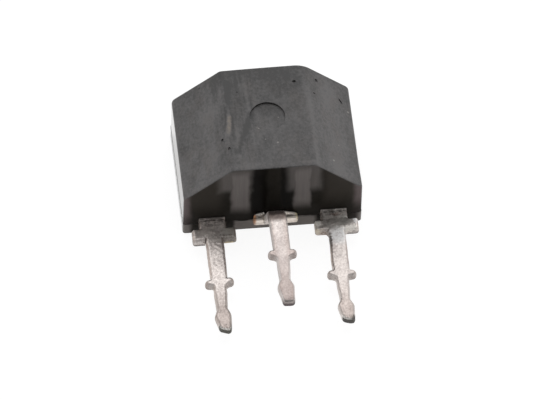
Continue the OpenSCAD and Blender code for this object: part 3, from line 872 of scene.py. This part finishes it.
def rolled_over(co, sides, rolled, reach):
    """Where a point of the strip's skin goes when the edges of its front are rounded off."""
    outward = 1 - ramp(sides.find_nearest(co)[3], 0, reach)
    face_normal, depth = rolled.find_nearest(co)[1::2]
    if face_normal.z < 0:
        return co
    drop = EDGE_DROP * reach * (1 - math.sqrt(1 - outward ** 2))
    return co - face_normal * drop * (1 - ramp(depth, 0, STRIP_T))


def struck(co, node, tip_right):
    """Moves a point of a lead to where the punches and the tin left it."""
    shape = LEAD_SHAPES[node]
    centre_lead = node == "collector_lead"
    right_side = co.x > LEAD_X[node]
    on_barb = ramp(abs(co.x - LEAD_X[node]), 0.28, 0.4)
    co.y += shape["barbs_back"][right_side] * within(co.y, STRUCK_BARBS) * on_barb
    co.y += shape["shoulders_back"][right_side] * within(co.y, SHOULDERS)
    co.x += shape["blade_lean"] * within(co.y, LEANING)
    co.y -= shape["tip_longer"] * ramp(co.y, TIP + TIP_SHAPED, TIP)
    # The cropping punch shaped the tip's corner on the -X side
    shaped = ramp(co.y, TIP + TIP_SHAPED, TIP)
    co.y += shape["tip_slant"] * shaped * ((tip_right - co.x) / TIP_WIDTH) ** 2
    # The trimming punch rolled over the front edge of the centre lead's stub. A bead of tin fills the corner
    # between the stub and the moulding
    if centre_lead and LEAD_END - 0.4 < co.y < LEAD_END and abs(co.x) > BLADE_EDGE:
        co.z = PARTING + (co.z - PARTING) * (1 - EAR_ROLLED * (LEAD_END - co.y) / EAR_DEPTH)
        bead = shape["root_bead"] * ramp(co.y, LEAD_END - 0.13, LEAD_END - 0.07)
        co.z += bead * ramp(abs(co.x), EAR_END, BLADE_EDGE) * ramp(co.z, *BEAD_HEIGHTS)
    if not centre_lead and LEAD_END - 0.1 < co.y < LEAD_END:
        bead = shape["root_bead"] * ramp(co.y, LEAD_END - 0.08, LEAD_END - 0.03)
        co.z += bead * ramp(co.z, *BEAD_HEIGHTS)
    if co.y > DAM_BAR_END and abs(co.x - LEAD_X[node]) > DAM_BAR_X:
        co.y -= shape["dam_burr"][right_side] * ramp(co.y, *DAM_BAR)
    # The emitter blade's -X edge is eaten away below the dam bar
    if node == "emitter_lead":
        co.x += EATEN_DEPTH * within(co.y, EATEN) * ramp(co.x, LEAD_X[node] - 0.1, LEAD_X[node] - 0.3)


def tinned_lead(node, tin):
    """A lead with the rounded edges and the slight unevenness that the tin gives it outside the moulding."""
    shape = LEAD_SHAPES[node]
    obj = shape_object("strip", solid_copy(node))
    remesh = obj.modifiers.new("voxels", "REMESH")
    remesh.mode = "VOXEL"
    remesh.voxel_size = TIN_VOXEL
    smooth = obj.modifiers.new("melt", "SMOOTH")
    smooth.iterations = TIN_SMOOTHING
    smooth.factor = 0.5
    bm = applied(obj)
    bm.normal_update()
    tip_right = max(vert.co.x for vert in bm.verts if vert.co.y < TIP + 0.1)
    sides, rolled = strip_faces(node, True), strip_faces(node, False)
    for vert in bm.verts:
        outside = ramp(vert.co.y, LEAD_END - 0.02, LEAD_END - 0.12)
        on_barb = within(vert.co.y, ROUNDED_BARBS) * ramp(abs(vert.co.x - LEAD_X[node]), 0.3, 0.45)
        reach = shape["edge_reach"] + BARB_ROUNDED * on_barb
        vert.co = vert.co.lerp(rolled_over(vert.co, sides, rolled, reach), outside)
        struck(vert.co, node, tip_right)
    bm.normal_update()
    moved = []
    for vert in bm.verts:
        outside = ramp(vert.co.y, LEAD_END - 0.05, LEAD_END - 0.15)
        swell = sum(share * noise.noise(vert.co / width) for width, share in TIN_SWELLS)
        tin_depth = TIN_THICKNESS + shape["neck_tin"] * within(vert.co.y, NECK) + TIN_UNEVEN * swell
        moved.append(vert.co + vert.normal * outside * tin_depth)
    for vert, co in zip(bm.verts, moved):
        vert.co = co
    obj = finished(node + "_tinned", bm, [tin], crease=180)
    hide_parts(node)
    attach(obj, "root")


# ---- stage ----

def make_floor():
    mesh = bpy.data.meshes.new("floor")
    half = 0.5
    corners = [(-half, -half, 0), (half, -half, 0), (half, half, 0), (-half, half, 0)]
    mesh.from_pydata(corners, [], [(0, 1, 2, 3)])
    # White paper. What the camera and reflections see of it is lifted to white, and keeps a faint shadow
    material, tree = new_material("white_paper_floor")
    path = add(tree, "LightPath")
    seen = add(tree, "Math", path["Is Camera Ray"], path["Is Transmission Ray"], operation="MAXIMUM")[0]
    paper = add(tree, "BsdfDiffuse", "#f2f1f0")[0]
    faint = add(tree, "BsdfDiffuse", "#777777")[0]
    faint_lift = add(tree, "Emission", "#ffffff", 0.9)[0]
    lift = add(tree, "Emission", "#ffffff", 0.55)[0]
    shown = add(tree, "AddShader", faint, faint_lift)[0]
    mirrored = add(tree, "AddShader", paper, lift)[0]
    mix = add(tree, "MixShader", path["Is Glossy Ray"], paper, mirrored)[0]
    mix = add(tree, "MixShader", seen, mix, shown)[0]
    add(tree, "OutputMaterial", mix)
    mesh.materials.append(material)
    floor = link(bpy.data.objects.new("floor", mesh))


def make_world():
    # A white tent, dim only high up on the leads' side
    world = bpy.data.worlds.new("studio")
    bpy.context.scene.world = world
    world.use_nodes = True
    tree = world.node_tree
    tree.nodes.clear()
    path = add(tree, "LightPath")
    seen = add(tree, "Math", path["Is Camera Ray"], path["Is Transmission Ray"], operation="MAXIMUM")[0]
    direction = add(tree, "TexCoord")["Generated"]
    parts = add(tree, "SeparateXYZ", direction)
    high = add(tree, "MapRange", parts["Z"], 0.1, 0.5, interpolation_type="SMOOTHSTEP")[0]
    near = add(tree, "MapRange", parts["Y"], 0.2, -0.4, interpolation_type="SMOOTHSTEP")[0]
    dim = add(tree, "Math", high, near, operation="MULTIPLY")[0]
    low = add(tree, "MapRange", parts["Z"], 0.35, 0.0, 0, 0.3, interpolation_type="SMOOTHSTEP")[0]
    strength = add(tree, "MapRange", dim, 0, 1, 0.9, 0.2)[0]
    strength = add(tree, "Math", strength, low, operation="ADD")[0]
    sky = add(tree, "Background", "#ffffff", strength)[0]
    white = add(tree, "Background", "#ffffff", 1.0)[0]
    mix = add(tree, "MixShader", seen, sky, white)[0]
    add(tree, "OutputWorld", mix)


def soft_box(name, place, aim, size, power):
    """A round lamp so many metres and watts, that points at aim."""
    light = bpy.data.lights.new(name, "AREA")
    light.shape = "DISK"
    light.size = size
    light.energy = power
    lamp = link(bpy.data.objects.new(name, light))
    lamp.location = place
    lamp.rotation_euler = (Vector(aim) - Vector(place)).to_track_quat("-Z", "Y").to_euler()


# The camera looks down at the flat front from the leads' side, a little from the left and a little turned
CAMERA_TURN = math.radians(7.807)
CAMERA_HEIGHT = math.radians(53.886)
CAMERA_ROLL = math.radians(2.141)
CAMERA_DISTANCE = 0.4
# Size of the picture, where the middle of the lead end lies in it, and its scale there, in picture elements
PICTURE_WIDTH, PICTURE_HEIGHT = 533, 400
AIM_ACROSS, AIM_DOWN = 272.077, 226.889
PIXELS_PER_MM = 24.02
SENSOR_WIDTH = 36


def make_camera():
    turn, height, roll = CAMERA_TURN, CAMERA_HEIGHT, CAMERA_ROLL
    level_right = Vector((math.cos(turn), -math.sin(turn), 0))
    level_up = Vector((math.sin(turn), math.cos(turn), 0)) * math.sin(height)
    level_up.z = math.cos(height)
    back = level_right.cross(level_up)
    right = math.cos(roll) * level_right + math.sin(roll) * level_up
    up = math.cos(roll) * level_up - math.sin(roll) * level_right
    aim = Vector((0, LEAD_END, 0)) * MM
    aside = (AIM_ACROSS - PICTURE_WIDTH / 2) / PIXELS_PER_MM * MM
    above = (PICTURE_HEIGHT / 2 - AIM_DOWN) / PIXELS_PER_MM * MM
    place = aim - aside * right - above * up + CAMERA_DISTANCE * back
    data = bpy.data.cameras.new("camera")
    data.sensor_fit = "HORIZONTAL"
    data.sensor_width = SENSOR_WIDTH
    data.lens = PIXELS_PER_MM / MM * CAMERA_DISTANCE / PICTURE_WIDTH * SENSOR_WIDTH
    data.clip_start = 0.01
    data.clip_end = 10
    camera = link(bpy.data.objects.new("camera", data))
    turned = Matrix((right, up, back)).transposed().to_4x4()
    camera.matrix_world = Matrix.Translation(place) @ turned
    bpy.context.scene.camera = camera


moulding_piece([matt_moulding(), polished_moulding(), fluxed_moulding()])
for lead in ("base_lead", "emitter_lead", "collector_lead"):
    tinned_lead(lead, dipped_tin(lead))

# Inside: a silicon die ground to a blue-grey shine, its dull yellow gold-silicon bond and two drawn gold
# wires, which are bright
INSIDE = {
    "silicon_die": plain_metal("ground_silicon", "#6d7079", 0.3, 0.02),
    "die_bond": plain_metal("gold_silicon_eutectic", "#c8a04c", 0.4, 0.02),
    "base_wire": plain_metal("drawn_gold_base_wire", "#e6b858", 0.22, 0.01),
    "emitter_wire": plain_metal("drawn_gold_emitter_wire", "#e6b858", 0.22, 0.01),
}
for name, material in INSIDE.items():
    NODES[name].data.materials.clear()
    NODES[name].data.materials.append(material)

make_floor()
make_world()
soft_box("soft_box", (0.06, 0.47, 0.65), (0, 0, 0), 1.0, 2.0)
make_camera()
bpy.context.scene.view_settings.view_transform = "Standard"
